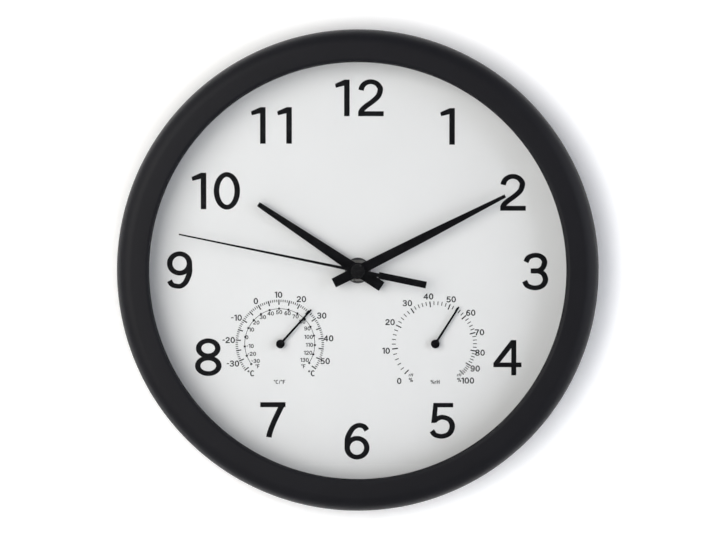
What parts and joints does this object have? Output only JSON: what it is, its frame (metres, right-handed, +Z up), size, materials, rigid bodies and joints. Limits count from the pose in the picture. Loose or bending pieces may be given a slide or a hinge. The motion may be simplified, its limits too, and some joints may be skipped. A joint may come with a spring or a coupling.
{
  "type": "thermometer hygrometer wall clock",
  "caption": "Round analogue wall clock with hour, minute and second hands and two small dials, a thermometer and a hygrometer, under one flat glass in a rolled-edge frame.",
  "frame": {"origin": "on the wall plane, under the top of the keyhole slot, where the wall hook bears", "axes": "+Z up, +Y into the wall, so the dial faces -Y, and +X to the viewer's right"},
  "size_m": [0.25, 0.038, 0.25],
  "materials": {
    "frame_black": "satin",
    "case_black": "fine texture",
    "clear_glass": "polished",
    "dial_white": "matt print",
    "zinc_steel": "zinc plated",
    "nut_steel": "nickel plated",
    "bush_brass": "turned",
    "movement_black": "fine texture",
    "knob_white": "moulded",
    "wheel_acetal": "moulded",
    "magnet_grey": "sintered",
    "stator_steel": "rolled",
    "bobbin_plastic": "moulded",
    "coil_copper": "enamelled wire",
    "board_green": "laminate",
    "chip_black": "epoxy",
    "crystal_can": "plated",
    "contact_nickel": "nickel plated",
    "battery_label": "printed sleeve",
    "hand_black": "black lacquer",
    "arbor_brass": "turned",
    "bridge_plastic": "moulded",
    "bimetal": "rolled strip",
    "humidity_strip": "coated strip"
  },
  "bodies": {
    "case": {"front_frame": "frame_black", "front_glass": "clear_glass", "dial": "dial_white", "back_case": "case_black", "case_screws": "zinc_steel", "movement_case": "movement_black", "movement_cover": "movement_black", "centre_bush": "bush_brass", "mounting_washer": "zinc_steel", "mounting_nut": "nut_steel", "stator": "stator_steel", "coil_bobbin": "bobbin_plastic", "coil_winding": "coil_copper", "circuit_board": "board_green", "clock_chip": "chip_black", "quartz_crystal": "crystal_can", "contact_plus": "contact_nickel", "contact_minus": "contact_nickel", "battery": "battery_label", "thermometer_bridge": "bridge_plastic", "thermometer_coil": "bimetal", "hygrometer_bridge": "bridge_plastic", "hygrometer_coil": "humidity_strip", "bridge_screws": "zinc_steel"},
    "seconds_group": {"seconds_wheel": "wheel_acetal", "second_hand": "hand_black", "second_hand_cap": "hand_black"},
    "rotor_group": {"rotor_pinion": "wheel_acetal", "rotor_magnet": "magnet_grey"},
    "intermediate_group": {"intermediate_wheel": "wheel_acetal"},
    "third_group": {"third_wheel": "wheel_acetal"},
    "centre_group": {"centre_wheel": "wheel_acetal"},
    "minute_group": {"cannon_pinion": "wheel_acetal", "minute_hand": "hand_black"},
    "reverser_group": {"reverser_wheel": "wheel_acetal"},
    "hour_group": {"hour_wheel": "wheel_acetal", "hour_hand": "hand_black"},
    "setting_group": {"setting_pinion": "knob_white", "setting_knob": "knob_white"},
    "thermometer_group": {"thermometer_arbor": "arbor_brass", "thermometer_pointer": "hand_black"},
    "hygrometer_group": {"hygrometer_arbor": "arbor_brass", "hygrometer_pointer": "hand_black"}
  },
  "joints": [
    {"name": "seconds_turn", "type": "hinge", "parent": "case", "child": "seconds_group", "pos_m": [0, 0, -0.092], "axis": [0, 1, 0], "continuous": true},
    {"name": "rotor_turn", "type": "hinge", "parent": "case", "child": "rotor_group", "pos_m": [0.01691, 0, -0.07846], "axis": [0, 1, 0], "continuous": true},
    {"name": "intermediate_turn", "type": "hinge", "parent": "case", "child": "intermediate_group", "pos_m": [0.01151, 0, -0.08781], "axis": [0, 1, 0], "continuous": true},
    {"name": "third_turn", "type": "hinge", "parent": "case", "child": "third_group", "pos_m": [-0.01118, 0, -0.08793], "axis": [0, 1, 0], "continuous": true},
    {"name": "centre_turn", "type": "hinge", "parent": "case", "child": "centre_group", "pos_m": [0, 0, -0.092], "axis": [0, 1, 0], "continuous": true},
    {"name": "minute_turn", "type": "hinge", "parent": "case", "child": "minute_group", "pos_m": [0, 0, -0.092], "axis": [0, 1, 0], "continuous": true},
    {"name": "reverser_turn", "type": "hinge", "parent": "case", "child": "reverser_group", "pos_m": [0, 0, -0.08], "axis": [0, 1, 0], "continuous": true},
    {"name": "hour_turn", "type": "hinge", "parent": "case", "child": "hour_group", "pos_m": [0, 0, -0.092], "axis": [0, 1, 0], "continuous": true},
    {"name": "setting_turn", "type": "hinge", "parent": "case", "child": "setting_group", "pos_m": [-0.01039, 0, -0.074], "axis": [0, 1, 0], "continuous": true},
    {"name": "thermometer_turn", "type": "hinge", "parent": "case", "child": "thermometer_group", "pos_m": [-0.0404, 0, -0.1303], "axis": [0, 1, 0], "range_deg": [-168, 84], "stiffness_Nm_per_rad": 0.002, "deforming": ["thermometer_coil"]},
    {"name": "hygrometer_turn", "type": "hinge", "parent": "case", "child": "hygrometer_group", "pos_m": [0.0404, 0, -0.1303], "axis": [0, 1, 0], "range_deg": [-167.9, 103.9], "stiffness_Nm_per_rad": 0.002, "deforming": ["hygrometer_coil"]}
  ],
  "couplings": [
    {"joint": "intermediate_turn", "follows": "seconds_turn", "ratio": -6},
    {"joint": "rotor_turn", "follows": "seconds_turn", "ratio": 30},
    {"joint": "third_turn", "follows": "seconds_turn", "ratio": -0.13333},
    {"joint": "centre_turn", "follows": "seconds_turn", "ratio": 0.016667},
    {"joint": "reverser_turn", "follows": "minute_turn", "ratio": -0.33333},
    {"joint": "hour_turn", "follows": "minute_turn", "ratio": 0.083333},
    {"joint": "setting_turn", "follows": "minute_turn", "ratio": 1}
  ]
}
